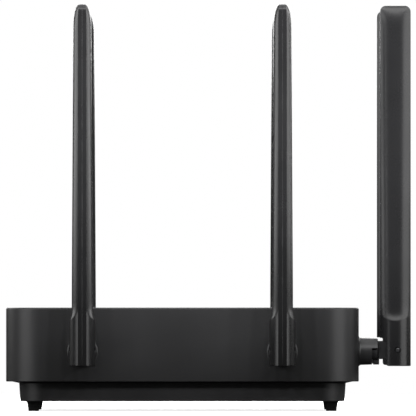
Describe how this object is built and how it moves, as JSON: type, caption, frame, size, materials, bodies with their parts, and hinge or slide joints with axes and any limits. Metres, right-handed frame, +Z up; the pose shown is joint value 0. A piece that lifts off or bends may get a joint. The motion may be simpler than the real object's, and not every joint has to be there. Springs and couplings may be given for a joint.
{
  "type": "wireless router",
  "caption": "Flat black wireless router on a recessed plinth, with folding blade antennas on its side and rear walls and a row of network sockets at the back.",
  "frame": {"origin": "on the table under the middle of the whole object's box", "axes": "+Z up, -Y towards the front wall, +Y towards the wall with the sockets, +X to the right seen from the front"},
  "size_m": [0.2592, 0.1836, 0.184],
  "materials": {
    "cover_plastic": "fine matte texture",
    "tray_plastic": "smooth satin",
    "antenna_plastic": "satin, very fine texture",
    "knuckle_plastic": "satin",
    "foot_rubber": "matte",
    "jack_plastic": "satin",
    "wan_plastic": "satin blue",
    "button_plastic": "satin",
    "gold_contact": "gold plated",
    "plated_pin": "bright nickel",
    "pin_steel": "darkened steel",
    "screw_steel": "zinc plated",
    "circuit_board": "green solder mask over glass laminate",
    "cast_sink": "as cast",
    "gap_pad": "soft silicone",
    "chip_resin": "moulded resin",
    "tinned_can": "tinned sheet",
    "component_body": "mixed component bodies",
    "clear_pipe": "frosted clear polycarbonate",
    "led_resin": "lens resin",
    "lead_jacket": "smooth jacket",
    "plate_film": "blank silver film"
  },
  "bodies": {
    "root": {"top_cover": "cover_plastic", "base_tray": "tray_plastic", "mainboard": "circuit_board", "heatsink": "cast_sink", "thermal_pads": "gap_pad", "chips": "chip_resin", "rf_shields": "tinned_can", "board_components": "component_body", "ethernet_magnetics": "chip_resin", "wan_port": "wan_plastic", "lan_port_1": "jack_plastic", "lan_port_2": "jack_plastic", "lan_port_3": "jack_plastic", "port_contacts": "gold_contact", "dc_jack": "jack_plastic", "dc_jack_pin": "plated_pin", "tact_switches": "component_body", "light_pipe": "clear_pipe", "led_chips": "led_resin", "foot_front_left": "foot_rubber", "foot_front_right": "foot_rubber", "foot_rear_left": "foot_rubber", "foot_rear_right": "foot_rubber", "case_screws": "screw_steel", "board_screws": "screw_steel", "coax_leads": "lead_jacket", "coax_plugs": "gold_contact", "rating_plate": "plate_film"},
    "right_front_swivel": {"right_front_knuckle": "knuckle_plastic"},
    "right_front_blade": {"right_front_hinge_pin": "pin_steel", "right_front_shell_left": "antenna_plastic", "right_front_shell_right": "antenna_plastic", "right_front_radiator": "circuit_board"},
    "right_rear_swivel": {"right_rear_knuckle": "knuckle_plastic"},
    "right_rear_blade": {"right_rear_hinge_pin": "pin_steel", "right_rear_shell_left": "antenna_plastic", "right_rear_shell_right": "antenna_plastic", "right_rear_radiator": "circuit_board"},
    "left_front_swivel": {"left_front_knuckle": "knuckle_plastic"},
    "left_front_blade": {"left_front_hinge_pin": "pin_steel", "left_front_shell_left": "antenna_plastic", "left_front_shell_right": "antenna_plastic", "left_front_radiator": "circuit_board"},
    "left_rear_swivel": {"left_rear_knuckle": "knuckle_plastic"},
    "left_rear_blade": {"left_rear_hinge_pin": "pin_steel", "left_rear_shell_left": "antenna_plastic", "left_rear_shell_right": "antenna_plastic", "left_rear_radiator": "circuit_board"},
    "rear_right_swivel": {"rear_right_knuckle": "knuckle_plastic"},
    "rear_right_blade": {"rear_right_hinge_pin": "pin_steel", "rear_right_shell_left": "antenna_plastic", "rear_right_shell_right": "antenna_plastic", "rear_right_radiator": "circuit_board"},
    "rear_left_swivel": {"rear_left_knuckle": "knuckle_plastic"},
    "rear_left_blade": {"rear_left_hinge_pin": "pin_steel", "rear_left_shell_left": "antenna_plastic", "rear_left_shell_right": "antenna_plastic", "rear_left_radiator": "circuit_board"},
    "mesh_button": {"mesh_button": "button_plastic"},
    "reset_button": {"reset_button": "button_plastic"}
  },
  "joints": [
    {"name": "right_front_swivel_hinge", "type": "hinge", "parent": "root", "child": "right_front_swivel", "pos_m": [0.106, -0.05705, 0.0271], "axis": [-1, 0, 0], "range_deg": [-90, 25]},
    {"name": "right_front_tilt_hinge", "type": "hinge", "parent": "right_front_swivel", "child": "right_front_blade", "pos_m": [0.1237, -0.05705, 0.0276], "axis": [0, 1, 0], "range_deg": [0, 90]},
    {"name": "right_rear_swivel_hinge", "type": "hinge", "parent": "root", "child": "right_rear_swivel", "pos_m": [0.106, 0.03345, 0.0271], "axis": [-1, 0, 0], "range_deg": [-25, 90]},
    {"name": "right_rear_tilt_hinge", "type": "hinge", "parent": "right_rear_swivel", "child": "right_rear_blade", "pos_m": [0.1237, 0.03345, 0.0276], "axis": [0, 1, 0], "range_deg": [0, 90]},
    {"name": "left_front_swivel_hinge", "type": "hinge", "parent": "root", "child": "left_front_swivel", "pos_m": [-0.106, -0.05705, 0.0271], "axis": [-1, 0, 0], "range_deg": [-90, 25]},
    {"name": "left_front_tilt_hinge", "type": "hinge", "parent": "left_front_swivel", "child": "left_front_blade", "pos_m": [-0.1237, -0.05705, 0.0276], "axis": [0, -1, 0], "range_deg": [0, 90]},
    {"name": "left_rear_swivel_hinge", "type": "hinge", "parent": "root", "child": "left_rear_swivel", "pos_m": [-0.106, 0.03345, 0.0271], "axis": [-1, 0, 0], "range_deg": [-25, 90]},
    {"name": "left_rear_tilt_hinge", "type": "hinge", "parent": "left_rear_swivel", "child": "left_rear_blade", "pos_m": [-0.1237, 0.03345, 0.0276], "axis": [0, -1, 0], "range_deg": [0, 90]},
    {"name": "rear_right_swivel_hinge", "type": "hinge", "parent": "root", "child": "rear_right_swivel", "pos_m": [0.083, 0.0682, 0.0271], "axis": [0, 1, 0], "range_deg": [-90, 90]},
    {"name": "rear_right_tilt_hinge", "type": "hinge", "parent": "rear_right_swivel", "child": "rear_right_blade", "pos_m": [0.083, 0.0859, 0.0276], "axis": [-1, 0, 0], "range_deg": [0, 90]},
    {"name": "rear_left_swivel_hinge", "type": "hinge", "parent": "root", "child": "rear_left_swivel", "pos_m": [-0.083, 0.0682, 0.0271], "axis": [0, 1, 0], "range_deg": [-90, 90]},
    {"name": "rear_left_tilt_hinge", "type": "hinge", "parent": "rear_left_swivel", "child": "rear_left_blade", "pos_m": [-0.083, 0.0859, 0.0276], "axis": [-1, 0, 0], "range_deg": [0, 90]},
    {"name": "mesh_button_press", "type": "slide", "parent": "root", "child": "mesh_button", "axis": [0, -1, 0], "range_m": [0, 0.0008], "stiffness_N_per_m": 1500, "springref_m": -0.0004},
    {"name": "reset_button_press", "type": "slide", "parent": "root", "child": "reset_button", "axis": [0, -1, 0], "range_m": [0, 0.0008], "stiffness_N_per_m": 1500, "springref_m": -0.0004}
  ]
}
